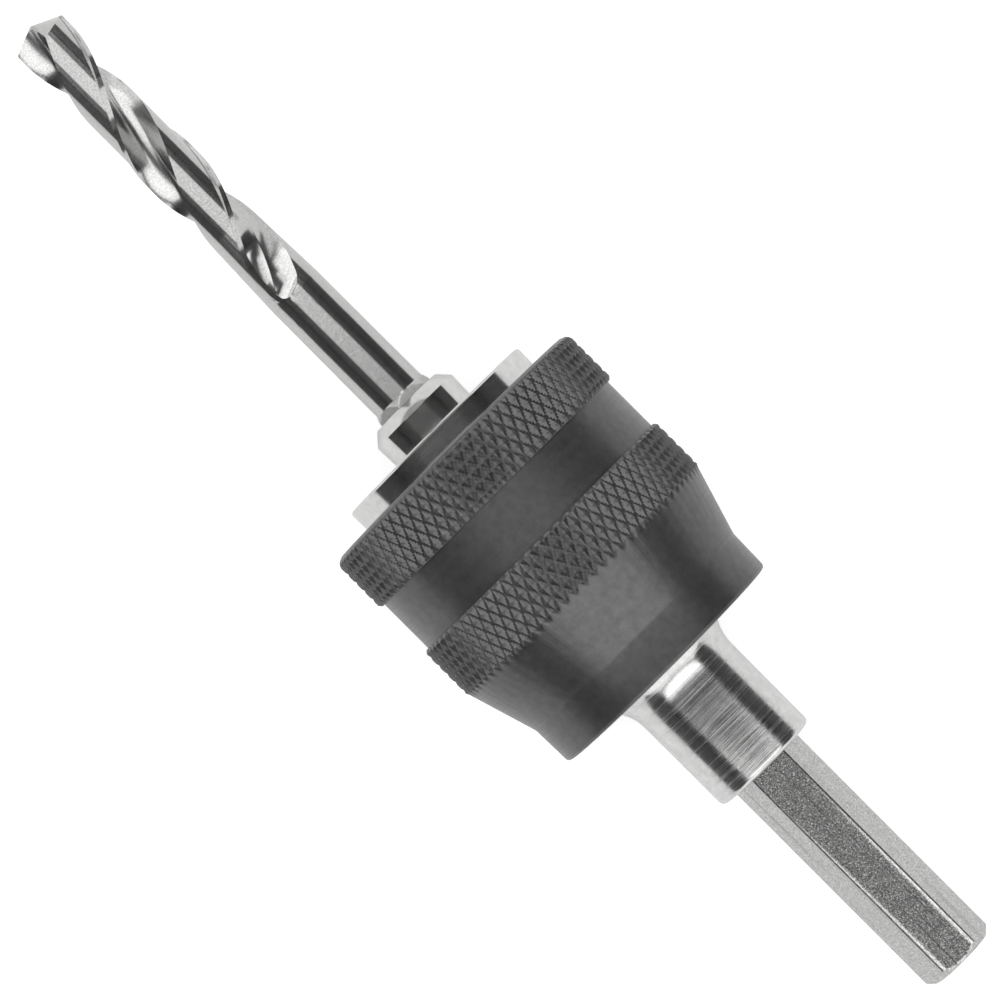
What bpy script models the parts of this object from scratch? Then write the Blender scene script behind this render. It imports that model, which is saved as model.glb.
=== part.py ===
"""Quick-change hole saw arbor with its pilot drill, lying on its knurled collar.

Each piece is modelled upright on the arbor's own axis: +Z runs from the shank to the drill's point,
z = 0 is the front face of the barrel's rim, and +X is the side that faces up once the arbor lies down.
The empty made last lays the whole arbor on its collar, with the point towards -X. Metres throughout.
"""

from math import asin, atan2, cos, pi, radians, sin, sqrt, tan

import bmesh
import bpy
from mathutils import Matrix, Vector

# Clearances
SLIDE_GAP = 0.0003
SEAT_GAP = 0.0003
TAIL_GAP = 0.0002
BALL_GAP = 0.0002

# Spindle, from its rim back to the end of its shank
RIM_D = 0.0275
RIM_CHAMFER = 0.0003
SPRING_SEAT_D = 0.0255
STEP_BEHIND_BALLS = 0.0035
FLANGE_THICKNESS = 0.003
NECK_D = 0.01415
NECK_LENGTH = 0.01855
NECK_FILLET = 0.0056
NECK_EDGE_R = 0.0007
SHANK_ACROSS_FLATS = 0.00873
SHANK_LENGTH = 0.0322
SHANK_END_D = 0.0083

# Hexagonal socket for the saw's adapter
SOCKET_ACROSS_FLATS = 0.021
SOCKET_BEHIND_BALLS = 0.0025
SOCKET_LEAD_IN_D = 0.0232

# Locking balls
BALL_COUNT = 3
BALL_D = 0.003
BALL_LIFT = 0.0012
BALL_SEAT_D = 0.003
BALL_HOLE_FLARE = 0.25

# Locking collar
COLLAR_SETBACK = 0.00273
COLLAR_LENGTH = 0.0357
COLLAR_TRAVEL = 0.006
COLLAR_FACE_D = 0.034
COUNTERBORE_D = 0.0304
LIP_LENGTH = 0.0018
RAMP_RUN_IN = 0.0018
GUIDE_LENGTH = 0.0045
CHAMBER_D = 0.0298
FRONT_BAND_LENGTH = 0.008
PLAIN_BAND_LENGTH = 0.00675
REAR_BAND_LENGTH = 0.00686
CONE_LENGTH = 0.00862
PLAIN_BAND_D = 0.0368
CONE_END_D = 0.03268
TAIL_D = 0.03234
COLLAR_EDGE = 0.0004

# Diamond knurling
KNURL_D = 0.0381
KNURL_COUNT = 76
KNURL_DEPTH = 0.0004
KNURL_PITCH = 0.00273
KNURL_EDGE = 0.0004
KNURL_FEATHER = 0.0013

# Snap ring, spring and washer
SNAP_WIRE = 0.0014
SNAP_RING_DEPTH = 0.0038
SNAP_GROOVE_DEPTH = 0.0007
SPRING_WIRE = 0.0015
SPRING_LENGTH = 0.0125
SPRING_TURNS = 4
SPRING_COIL_GAP = 0.00012
WASHER_THICKNESS = 0.001

# Nose
NOSE_D = 0.0122
NOSE_FACE_D = 0.00962
NOSE_LENGTH = 0.0046
NOSE_BEHIND_PIN = 0.005
NOSE_PIN_D = 0.003
NOSE_PIN_WALL = 0.0006
NOSE_PIN_SLOT = 0.0006
PIN_BEHIND_DRILL = 0.0065

# Pilot drill
DRILL_D = 0.00715
DRILL_REACH = 0.0621
DRILL_TAIL = 0.022
DRILL_LAND_D = 0.0064
DRILL_MARGIN = 0.0008
DRILL_MARGIN_STEP = radians(2)
DRILL_WEB = 0.0011
DRILL_WEB_TAPER = 0.012
DRILL_LEAD = 0.0419
DRILL_FLUTE_OPENING = radians(94)
DRILL_FLUTE_ROUND = 0.0009
DRILL_FLUTE_LENGTH = 0.0439
DRILL_FLUTE_EDGE = 0.00006
DRILL_RUN_OUT = 0.0105
DRILL_RUN_OUT_HEEL = radians(56)
DRILL_RUN_OUT_MIDDLE = radians(30)
DRILL_RUN_OUT_ROUND = 0.2
DRILL_POINT_ANGLE = radians(135)
DRILL_RELIEF_ANGLE = radians(12)
DRILL_HEX = 0.00715
DRILL_HEX_SHOWS = 0.00116
DRILL_HEX_CONE = 0.0009
DRILL_CLOCKING = radians(16.8)
DRILL_FLUTE_CLOCKING = radians(-18)
CLIP_WIRE = 0.001
CLIP_BEHIND_FACE = 0.0125
CLIP_BITE = 0.0004

# Facets
ROUND_STEPS = 34
SMALL_STEPS = 32
HOLE_STEPS = 18
COIL_STEPS = 16
RING_STEPS = 24
TWIST_STEPS = 30
RUN_OUT_STEPS = 9
PLAIN_STEPS = 4
WALL_POINTS = 2
CORNER_POINTS = 4
LAND_POINTS = 6
MATCH = 0.00002

# Places along the axis, worked out from the sizes above
FRONT = 0.0
RING_Z = FRONT - SNAP_RING_DEPTH
COLLAR_Z = FRONT - COLLAR_SETBACK
COLLAR_END_Z = COLLAR_Z - COLLAR_LENGTH
LIP_Z = RING_Z - SNAP_WIRE / 2 - SEAT_GAP
LIP_END_Z = LIP_Z - LIP_LENGTH
BALL_Z = LIP_END_Z - RAMP_RUN_IN - COLLAR_TRAVEL
SHOULDER_Z = BALL_Z - GUIDE_LENGTH
WASHER_Z = SHOULDER_Z - SEAT_GAP
SPRING_Z = WASHER_Z - WASHER_THICKNESS - SEAT_GAP
FLANGE_Z = SPRING_Z - SPRING_LENGTH - SEAT_GAP
FLANGE_END_Z = FLANGE_Z - FLANGE_THICKNESS
NECK_END_Z = FLANGE_END_Z - NECK_LENGTH
SHANK_END_Z = NECK_END_Z - SHANK_LENGTH
STEP_Z = BALL_Z - STEP_BEHIND_BALLS
SOCKET_END_Z = BALL_Z - SOCKET_BEHIND_BALLS
NOSE_Z = FRONT + NOSE_LENGTH
TIP_Z = NOSE_Z + DRILL_REACH
DRILL_END_Z = NOSE_Z - DRILL_TAIL
PIN_Z = DRILL_END_Z - PIN_BEHIND_DRILL
NOSE_END_Z = PIN_Z - NOSE_BEHIND_PIN
CLIP_Z = NOSE_Z - CLIP_BEHIND_FACE

# Radii that one piece takes from another
RIM_R = RIM_D / 2
GUIDE_R = RIM_R + SLIDE_GAP
CHAMBER_R = CHAMBER_D / 2
FLANGE_R = CHAMBER_R - SLIDE_GAP
SPRING_SEAT_R = SPRING_SEAT_D / 2
NOSE_BORE_R = NOSE_D / 2 + SEAT_GAP
PIN_HOLE_R = NOSE_PIN_D / 2 + SEAT_GAP
BALL_CENTRE_R = RIM_R - BALL_D / 2
SNAP_RING_R = RIM_R - SNAP_GROOVE_DEPTH + BALL_GAP + SNAP_WIRE / 2
HEX_CORNER_R = DRILL_HEX / sqrt(3)
CLIP_R = HEX_CORNER_R - CLIP_BITE + CLIP_WIRE / 2

for old in list(bpy.data.objects):
    bpy.data.objects.remove(old)
parts = bpy.data.collections.new("hole_saw_arbor")
cutters = bpy.data.collections.new("cutters")


def material(name, colour, metallic, roughness):
    """A Principled material of one colour."""
    made = bpy.data.materials.new(name)
    made.use_nodes = True
    shader = made.node_tree.nodes["Principled BSDF"]
    shader.inputs["Base Color"].default_value = (*colour, 1)
    shader.inputs["Metallic"].default_value = metallic
    shader.inputs["Roughness"].default_value = roughness
    made.diffuse_color = (*colour, 1)
    return made


def add(name, data, finish=None, z=0.0):
    """Puts a piece on the arbor's axis. Without a finish it is a cutter, which isn't part of the arbor."""
    piece = bpy.data.objects.new(name, data)
    piece.location.z = z
    if finish:
        parts.objects.link(piece)
        data.materials.append(finish)
    else:
        cutters.objects.link(piece)
        piece.hide_render = True
        piece.display_type = "WIRE"
    return piece


def from_bmesh(name, bm, finish=None, z=0.0):
    """A piece that holds what a bmesh holds."""
    mesh = bpy.data.meshes.new(name)
    bm.to_mesh(mesh)
    bm.free()
    return add(name, mesh, finish, z)


def turned(name, profile, finish=None, steps=ROUND_STEPS):
    """A turned piece from (radius, z) points down its outer side. Off the axis the profile is closed."""
    bm = bmesh.new()
    points = [bm.verts.new((radius, 0, z)) for radius, z in profile]
    edges = list(zip(points, points[1:]))
    if profile[0][0] > 0:
        edges.append((points[-1], points[0]))
    for edge in edges:
        bm.edges.new(edge)
    piece = from_bmesh(name, bm, finish)
    screw = piece.modifiers.new("turned", "SCREW")
    screw.axis = "Z"
    screw.steps = screw.render_steps = steps
    screw.use_merge_vertices = True
    screw.merge_threshold = 0.000001
    screw.use_smooth_shade = False
    return piece


def bar(name, radius, top, bottom, finish=None, sides=ROUND_STEPS, end_radius=None):
    """A round or hexagonal bar, or a cone, between two heights on the axis."""
    bm = bmesh.new()
    end = radius if end_radius is None else end_radius
    depth = top - bottom
    bmesh.ops.create_cone(bm, cap_ends=True, segments=sides, radius1=end, radius2=radius, depth=depth)
    return from_bmesh(name, bm, finish, (top + bottom) / 2)


def hexagon(name, across_flats, top, bottom, finish=None):
    """A hexagonal bar with two of its flats facing +X and -X."""
    return bar(name, across_flats / sqrt(3), top, bottom, finish, sides=6)


def change(piece, tool, operation="DIFFERENCE"):
    """Cuts a piece with a tool, joins it to the piece, or keeps what both share."""
    boolean = piece.modifiers.new(tool.name, "BOOLEAN")
    boolean.operation = operation
    boolean.object = tool


def evaluated_mesh(piece):
    """A mesh of the piece with its modifiers in effect."""
    graph = bpy.context.evaluated_depsgraph_get()
    return bpy.data.meshes.new_from_object(piece.evaluated_get(graph))


def smooth(piece, angle=radians(28)):
    """Shades a mesh smooth apart from its edges sharper than the angle."""
    piece.data.shade_smooth()
    piece.data.set_sharp_from_angle(angle=angle)


def finish_round(piece):
    """Fixes the shape of a turned or cut piece, and shades its round sides smooth."""
    if piece.modifiers:
        piece.data = evaluated_mesh(piece)
        piece.modifiers.clear()
        smooth(piece)


def arc(centre_r, centre_z, radius, start, end, count):
    """(radius, z) points along an arc, between two angles measured from +radius towards +Z."""
    steps = [start + (end - start) * i / (count - 1) for i in range(count)]
    return [(centre_r + radius * cos(a), centre_z + radius * sin(a)) for a in steps]


def spindle(finish):
    """The shank, neck, flange and barrel, turned from one bar, with a hexagonal socket in the front."""
    groove_r = RIM_R - SNAP_GROOVE_DEPTH
    groove_half = SNAP_WIRE / 2 + BALL_GAP
    neck_r = NECK_D / 2
    profile = [
        (0, FRONT),
        (RIM_R - RIM_CHAMFER, FRONT),
        (RIM_R, FRONT - RIM_CHAMFER),
        (RIM_R, RING_Z + groove_half),
        (groove_r, RING_Z + groove_half),
        (groove_r, RING_Z - groove_half),
        (RIM_R, RING_Z - groove_half),
        (RIM_R, STEP_Z),
        (SPRING_SEAT_R, STEP_Z - (RIM_R - SPRING_SEAT_R)),
        (SPRING_SEAT_R, FLANGE_Z),
        (FLANGE_R, FLANGE_Z),
        (FLANGE_R, FLANGE_END_Z),
    ]
    fillet_r = min(NECK_FILLET, FLANGE_R - neck_r - RIM_CHAMFER)
    profile += arc(neck_r + fillet_r, FLANGE_END_Z - fillet_r, fillet_r, pi / 2, pi, 6)
    profile += arc(neck_r - NECK_EDGE_R, NECK_END_Z + NECK_EDGE_R, NECK_EDGE_R, 0, -pi / 2, 3)
    profile.append((0, NECK_END_Z))
    piece = turned("spindle", profile, finish)

    shank = hexagon("shank_hex", SHANK_ACROSS_FLATS, NECK_END_Z + NECK_EDGE_R, SHANK_END_Z)
    clear_r = SHANK_ACROSS_FLATS / sqrt(3) + SEAT_GAP
    chamfer = [
        (0, NECK_END_Z + NECK_D),
        (clear_r, NECK_END_Z + NECK_D),
        (clear_r, SHANK_END_Z + clear_r - SHANK_END_D / 2),
        (SHANK_END_D / 2, SHANK_END_Z),
        (0, SHANK_END_Z),
    ]
    change(shank, turned("shank_chamfer", chamfer), "INTERSECT")
    change(piece, shank, "UNION")

    change(piece, hexagon("socket_hex", SOCKET_ACROSS_FLATS, FRONT + NOSE_LENGTH, SOCKET_END_Z))
    lead_in_r = SOCKET_LEAD_IN_D / 2
    lead_in_depth = lead_in_r - SOCKET_ACROSS_FLATS / 2 + SEAT_GAP
    lead_in = [
        (0, FRONT + SEAT_GAP),
        (lead_in_r + SEAT_GAP, FRONT + SEAT_GAP),
        (lead_in_r - lead_in_depth, FRONT - lead_in_depth),
        (0, FRONT - lead_in_depth),
    ]
    change(piece, turned("socket_lead_in", lead_in))
    change(piece, bar("nose_bore", NOSE_BORE_R, SOCKET_END_Z + NOSE_D, NOSE_END_Z - SEAT_GAP))
    for number, angle in enumerate(ball_angles()):
        change(piece, ball_hole(number + 1, angle))
    change(piece, cross_bar("pin_hole", PIN_HOLE_R, RIM_D, PIN_Z))
    return piece


def ball_angles():
    """The socket's corners that hold a locking ball."""
    return [pi / 2 + 2 * pi * i / BALL_COUNT for i in range(BALL_COUNT)]


def ball_hole(number, angle):
    """The cutter of one ball's hole. It widens outwards, so that the ball can't fall into the socket."""
    inner_r = BALL_CENTRE_R - BALL_D / 2
    outer_r = RIM_R + BALL_D / 2
    seat_r = BALL_SEAT_D / 2
    mouth_r = seat_r + (outer_r - inner_r) * BALL_HOLE_FLARE
    bm = bmesh.new()
    bmesh.ops.create_cone(
        bm,
        cap_ends=True,
        segments=HOLE_STEPS,
        radius1=seat_r,
        radius2=mouth_r,
        depth=outer_r - inner_r,
    )
    middle = (outer_r + inner_r) / 2
    cutter = from_bmesh(f"ball_hole_{number}", bm)
    cutter.location = (middle * cos(angle), middle * sin(angle), BALL_Z)
    cutter.rotation_euler = (0, pi / 2, angle)
    return cutter


def cross_bar(name, radius, length, z):
    """A round cutter that crosses the axis from side to side, along Y."""
    cutter = bar(name, radius, length / 2, -length / 2, sides=HOLE_STEPS)
    cutter.location.z = z
    cutter.rotation_euler = (pi / 2, 0, 0)
    return cutter


def nose_bush(finish):
    """The round nose, seated in the spindle's core, with a hexagonal bore for the drill's tail."""
    nose_r = NOSE_D / 2
    face_r = NOSE_FACE_D / 2
    profile = [
        (0, NOSE_Z),
        (face_r, NOSE_Z),
        (nose_r, NOSE_Z - (nose_r - face_r)),
        (nose_r, NOSE_END_Z),
        (0, NOSE_END_Z),
    ]
    piece = turned("nose_bush", profile, finish, SMALL_STEPS)
    bore = hexagon(
        "tail_bore", DRILL_HEX + 2 * TAIL_GAP, NOSE_Z + NOSE_LENGTH, DRILL_END_Z - SEAT_GAP
    )
    bore.rotation_euler.z = DRILL_CLOCKING
    change(piece, bore)
    groove_r = CLIP_R + CLIP_WIRE / 2 + SEAT_GAP
    groove_half = CLIP_WIRE / 2 + SEAT_GAP
    change(piece, bar("clip_groove", groove_r, CLIP_Z + groove_half, CLIP_Z - groove_half, sides=SMALL_STEPS))
    change(piece, cross_bar("nose_pin_hole", PIN_HOLE_R, RIM_D, PIN_Z))
    return piece


def nose_pin(finish):
    """A slotted spring pin, rolled from sheet, that crosses the spindle's core and the nose."""
    outer = NOSE_PIN_D / 2
    inner = outer - NOSE_PIN_WALL
    slot = NOSE_PIN_SLOT / 2 / outer
    steps = [slot + (2 * pi - 2 * slot) * i / (RING_STEPS - 1) for i in range(RING_STEPS)]
    outline = [(outer * cos(a), outer * sin(a)) for a in steps]
    outline += [(inner * cos(a), inner * sin(a)) for a in reversed(steps)]
    curve = bpy.data.curves.new("nose_pin", "CURVE")
    curve.dimensions = "2D"
    curve.fill_mode = "BOTH"
    curve.extrude = SPRING_SEAT_R - SEAT_GAP
    spline = curve.splines.new("POLY")
    spline.points.add(len(outline) - 1)
    for point, (x, y) in zip(spline.points, outline):
        point.co = (x, y, 0, 1)
    spline.use_cyclic_u = True
    piece = add("nose_pin", curve, finish, PIN_Z)
    piece.rotation_euler = (pi / 2, 0, 0)
    return piece


def wire(name, points, thickness, finish, z=0.0):
    """A round wire through the points, with closed ends."""
    curve = bpy.data.curves.new(name, "CURVE")
    curve.dimensions = "3D"
    curve.bevel_depth = thickness / 2
    curve.bevel_resolution = 2
    curve.use_fill_caps = True
    spline = curve.splines.new("POLY")
    spline.points.add(len(points) - 1)
    for point, place in zip(spline.points, points):
        point.co = (*place, 1)
    return add(name, curve, finish, z)


def split_ring(name, radius, thickness, opening, finish, z):
    """A wire ring with a gap, sprung into a groove."""
    steps = [opening / 2 + (2 * pi - opening) * i / (RING_STEPS - 1) for i in range(RING_STEPS)]
    points = [(radius * cos(a), radius * sin(a), 0) for a in steps]
    return wire(name, points, thickness, finish, z)


def collar_spring(finish):
    """The spring behind the collar's shoulder: a closed turn at each end and open turns between."""
    radius = (SPRING_SEAT_R + CHAMBER_R) / 2
    closed = SPRING_WIRE + SPRING_COIL_GAP
    open_turns = SPRING_TURNS - 2
    pitch = (SPRING_LENGTH - SPRING_WIRE - 2 * closed) / open_turns
    points = []
    for i in range(SPRING_TURNS * COIL_STEPS + 1):
        turn = i / COIL_STEPS
        in_open = min(max(turn - 1, 0), open_turns)
        down = SPRING_WIRE / 2 + closed * (turn - in_open) + pitch * in_open
        angle = 2 * pi * turn
        points.append((radius * cos(angle), radius * sin(angle), -down))
    return wire("collar_spring", points, SPRING_WIRE, finish, SPRING_Z)


def spring_washer(finish):
    """The flat washer between the spring and the collar's shoulder."""
    inner, outer = SPRING_SEAT_R + SLIDE_GAP, CHAMBER_R - SLIDE_GAP
    low = WASHER_Z - WASHER_THICKNESS
    profile = [(inner, WASHER_Z), (outer, WASHER_Z), (outer, low), (inner, low)]
    return turned("spring_washer", profile, finish)


def locking_balls(finish):
    """The hardened balls, flush with the barrel, where the collar's ramp holds them in."""
    for number, angle in enumerate(ball_angles()):
        bm = bmesh.new()
        bmesh.ops.create_uvsphere(bm, u_segments=12, v_segments=8, radius=BALL_D / 2)
        ball = from_bmesh(f"locking_ball_{number + 1}", bm, finish)
        ball.location = (BALL_CENTRE_R * cos(angle), BALL_CENTRE_R * sin(angle), BALL_Z)
        smooth(ball, pi)


def knurl_rows(top, bottom):
    """The heights of a knurled band's rows, half a diamond apart."""
    cells = max(2, round((top - bottom) / (KNURL_PITCH / 2)))
    return [top + (bottom - top) * i / cells for i in range(cells + 1)]


def locking_collar(finish):
    """The turned collar with its ramp and spring chamber, and two bands of diamond knurling."""
    knurl_r, plain_r = KNURL_D / 2, PLAIN_BAND_D / 2
    front_end = COLLAR_Z - FRONT_BAND_LENGTH
    plain_end = front_end - PLAIN_BAND_LENGTH
    rear_end = plain_end - REAR_BAND_LENGTH
    cone_end = rear_end - CONE_LENGTH
    cone_start_r, cone_end_r = knurl_r - KNURL_DEPTH / 2, CONE_END_D / 2
    feather_r = cone_start_r + (cone_end_r - cone_start_r) * KNURL_FEATHER / CONE_LENGTH
    front_rows = knurl_rows(COLLAR_Z - 2 * KNURL_EDGE, front_end + KNURL_EDGE)
    rear_rows = knurl_rows(plain_end - KNURL_EDGE, rear_end)
    ramp = BALL_LIFT / COLLAR_TRAVEL
    outside = [
        (COLLAR_FACE_D / 2, COLLAR_Z),
        (knurl_r - 2 * KNURL_EDGE, COLLAR_Z - KNURL_EDGE / 4),
        (knurl_r - KNURL_EDGE, COLLAR_Z - KNURL_EDGE),
        *[(knurl_r, z) for z in front_rows],
        (plain_r, front_end),
        (plain_r, plain_end),
        *[(knurl_r, z) for z in rear_rows],
        (feather_r, rear_end - KNURL_FEATHER),
        (cone_end_r, cone_end),
        (TAIL_D / 2, COLLAR_END_Z + COLLAR_EDGE),
        (TAIL_D / 2 - COLLAR_EDGE, COLLAR_END_Z),
    ]
    inside = [
        (CHAMBER_R, COLLAR_END_Z),
        (CHAMBER_R, SHOULDER_Z),
        (GUIDE_R, SHOULDER_Z),
        (GUIDE_R, BALL_Z),
        (GUIDE_R + ramp * (LIP_END_Z - BALL_Z), LIP_END_Z),
        (GUIDE_R, LIP_END_Z),
        (GUIDE_R, LIP_Z),
        (COUNTERBORE_D / 2, LIP_Z),
        (COUNTERBORE_D / 2, COLLAR_Z),
    ]
    blank = turned("collar_blank", outside + inside, finish, 2 * KNURL_COUNT)
    bm = bmesh.new()
    bm.from_mesh(evaluated_mesh(blank))
    bpy.data.objects.remove(blank)
    press_knurl(bm, front_rows, knurl_r)
    press_knurl(bm, rear_rows, knurl_r)
    thin_out(bm, front_rows + rear_rows)
    piece = from_bmesh("locking_collar", bm, finish)
    smooth(piece, radians(15))
    return piece


def column(vert):
    """Which of the collar's columns of vertices this one stands in."""
    return round(atan2(vert.co.y, vert.co.x) / (pi / KNURL_COUNT))


def press_knurl(bm, rows, crest_r):
    """Presses every other vertex of a band in, so that four-sided diamonds stand between the grooves."""
    row_of = {}
    for vert in bm.verts:
        if abs(Vector(vert.co.xy).length - crest_r) < MATCH:
            row = min(range(len(rows)), key=lambda i: abs(rows[i] - vert.co.z))
            if abs(rows[row] - vert.co.z) < MATCH:
                row_of[vert] = row
    low = {vert for vert, row in row_of.items() if (column(vert) + row) % 2}
    for vert in low:
        vert.co.xy *= (crest_r - KNURL_DEPTH) / crest_r
    for face in list(bm.faces):
        grooves = [vert for vert in face.verts if vert in low]
        if len(grooves) == 2 and all(vert in row_of for vert in face.verts):
            bmesh.utils.face_split(face, *grooves)


def thin_out(bm, knurled):
    """Leaves out every other column where the collar isn't knurled, and three of four in its bore."""

    def spare(edge):
        a, b = edge.verts
        if column(a) != column(b) or any(abs(z - v.co.z) < MATCH for z in knurled for v in edge.verts):
            return False
        bore = max(Vector(v.co.xy).length for v in edge.verts) < COUNTERBORE_D / 2 + MATCH
        return column(a) % (4 if bore else 2) > 0

    bmesh.ops.dissolve_edges(bm, edges=[edge for edge in bm.edges if spare(edge)], use_verts=True)


def flute_corner(depth):
    """How far the corner of a flute's two sides is from the axis, at a depth behind the tip."""
    web_r = DRILL_WEB / 2 + DRILL_WEB_TAPER * max(0, depth)
    return web_r - DRILL_FLUTE_ROUND * cos(DRILL_FLUTE_OPENING / 2) / 2


def side_angle(corner_r, at_r):
    """The angle about the axis from a flute's corner to where its straight side meets a circle."""
    half = DRILL_FLUTE_OPENING / 2
    return half - asin(corner_r * sin(half) / at_r)


def drill_outline(depth):
    """Points round one half of the twisted body: a flute, a land and its raised margin."""
    full_r = DRILL_D / 2
    fade = max(0, 1 - (DRILL_FLUTE_LENGTH - depth) / DRILL_RUN_OUT)
    end = max(0, fade - 1 + DRILL_RUN_OUT_ROUND) / DRILL_RUN_OUT_ROUND
    opened = sqrt(1 - 0.95 * end**2)
    corner_r = flute_corner(depth)
    land_r = DRILL_LAND_D / 2 + (full_r - DRILL_LAND_D / 2) * fade
    heel = side_angle(corner_r, land_r)
    heel += (DRILL_RUN_OUT_HEEL - heel) * min(1, fade / (1 - DRILL_RUN_OUT_ROUND))
    heel = DRILL_RUN_OUT_MIDDLE + (heel - DRILL_RUN_OUT_MIDDLE) * opened
    corner_r += (full_r - DRILL_FLUTE_EDGE - corner_r) * fade**1.5
    corner_angle = DRILL_RUN_OUT_MIDDLE * (1 - opened)
    lead = corner_angle - side_angle(corner_r, full_r)

    corner = polar(corner_r, corner_angle)
    front, back = polar(full_r, lead), polar(land_r, heel)
    rounding = DRILL_FLUTE_ROUND * (1 - 0.8 * fade)
    start = corner.lerp(front, min(0.5, rounding / (front - corner).length))
    finish = corner.lerp(back, min(0.5, rounding / (back - corner).length))
    outline = [front.lerp(start, i / WALL_POINTS) for i in range(WALL_POINTS)]
    for i in range(CORNER_POINTS):
        t = i / (CORNER_POINTS - 1)
        outline.append(start.lerp(corner, t).lerp(corner.lerp(finish, t), t))
    outline += [finish.lerp(back, i / WALL_POINTS) for i in range(1, WALL_POINTS + 1)]
    margin = pi + lead - 2 * DRILL_MARGIN / DRILL_D
    outline += [polar(land_r, heel + (margin - heel) * i / LAND_POINTS) for i in range(1, LAND_POINTS + 1)]
    outline.append(polar(full_r, margin + DRILL_MARGIN_STEP))
    return outline


def polar(radius, angle):
    """A point of a cross-section."""
    return Vector((radius * cos(angle), radius * sin(angle)))


def drill_section(outline, turn, z):
    """One cross-section of the drill from the outline of its half."""
    halves = [Matrix.Rotation(turn + side, 2) for side in (0, pi)]
    return [(*(half @ point), z) for half in halves for point in outline]


def loft(name, sections, finish):
    """A solid skin over closed sections that each have the same number of points, from top to bottom."""
    bm = bmesh.new()
    rings = [[bm.verts.new(point) for point in section] for section in sections]
    count = len(rings[0])
    for upper, lower in zip(rings, rings[1:]):
        for i in range(count):
            j = (i + 1) % count
            bm.faces.new((upper[i], lower[i], lower[j], upper[j]))
    bm.faces.new(rings[0])
    bm.faces.new(reversed(rings[-1]))
    bmesh.ops.recalc_face_normals(bm, faces=bm.faces)
    return from_bmesh(name, bm, finish)


def drill_turn(z):
    """How far the right-hand flutes have turned at a height."""
    return DRILL_FLUTE_CLOCKING + 2 * pi * (z - TIP_Z) / DRILL_LEAD


def pilot_drill(finish):
    """The twist drill: fluted body with a two-faced point, plain round part and hexagonal tail."""
    full_r = DRILL_D / 2
    flute_end = TIP_Z - DRILL_FLUTE_LENGTH
    fade_start = flute_end + DRILL_RUN_OUT
    hex_front = NOSE_Z + DRILL_HEX_SHOWS
    top = TIP_Z + DRILL_WEB / 2
    count = round(TWIST_STEPS * (top - fade_start) / DRILL_LEAD)
    heights = [top + (fade_start - top) * i / count for i in range(count)]
    for i in range(RUN_OUT_STEPS + 1):
        heights.append(flute_end + DRILL_RUN_OUT * (1 - i / RUN_OUT_STEPS) ** 2)
    sections = [drill_section(drill_outline(TIP_Z - z), drill_turn(z), z) for z in heights]

    low = DRILL_RUN_OUT_MIDDLE - pi / 2
    gathered = [low + (atan2(p.y, p.x) - low) % (2 * pi) for p in drill_outline(DRILL_FLUTE_LENGTH)]
    count = len(gathered)
    middle = sum(gathered) / count
    round_end = hex_front - DRILL_HEX_CONE
    for step in range(1, PLAIN_STEPS + 1):
        spread = step / PLAIN_STEPS
        plain = []
        for i, angle in enumerate(gathered):
            evenly = middle + (i - (count - 1) / 2) * pi / count
            plain.append(polar(full_r, angle + (evenly - angle) * spread))
        z = flute_end + (round_end - flute_end) * spread
        sections.append(drill_section(plain, drill_turn(flute_end), z))
    piece = loft("pilot_drill", sections, finish)

    tail = hexagon("drill_tail", DRILL_HEX, hex_front + 2 * DRILL_HEX_CONE, DRILL_END_Z)
    tail.rotation_euler.z = DRILL_CLOCKING
    rise = HEX_CORNER_R - full_r
    groove_r = CLIP_R - CLIP_WIRE / 2 - SEAT_GAP
    groove_half = CLIP_WIRE / 2 + SEAT_GAP
    outer_r = HEX_CORNER_R + SEAT_GAP
    shape = [
        (0, hex_front + DRILL_HEX_CONE),
        (full_r - rise, hex_front + DRILL_HEX_CONE),
        (outer_r, hex_front - DRILL_HEX_CONE * (outer_r - full_r) / rise),
        (outer_r, CLIP_Z + groove_half),
        (groove_r, CLIP_Z + groove_half),
        (groove_r, CLIP_Z - groove_half),
        (outer_r, CLIP_Z - groove_half),
        (outer_r, DRILL_END_Z + (outer_r - full_r)),
        (full_r - SEAT_GAP, DRILL_END_Z - SEAT_GAP),
        (0, DRILL_END_Z - SEAT_GAP),
    ]
    change(tail, turned("tail_shape", shape, steps=SMALL_STEPS), "INTERSECT")
    change(piece, tail, "UNION")
    for number, side in enumerate((0, pi)):
        change(piece, point_cutter(number + 1, side))
    return piece


def point_cutter(number, side):
    """Grinds one flank of the point. It falls away outwards along the lip, and behind the lip."""
    front = side_angle(flute_corner(0), DRILL_D / 2)
    lip = drill_turn(TIP_Z) + side - front - DRILL_WEB / DRILL_D
    along = Vector((cos(lip), sin(lip), 0)) / tan(DRILL_POINT_ANGLE / 2)
    behind = Vector((sin(lip), -cos(lip), 0)) * tan(DRILL_RELIEF_ANGLE)
    normal = (along + behind + Vector((0, 0, 1))).normalized()
    size = 4 * DRILL_D
    bm = bmesh.new()
    bmesh.ops.create_cube(bm, size=size)
    cutter = from_bmesh(f"point_{number}", bm)
    cutter.location = Vector((0, 0, TIP_Z)) + normal * size / 2
    cutter.rotation_euler = normal.to_track_quat("Z", "Y").to_euler()
    return cutter


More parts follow.
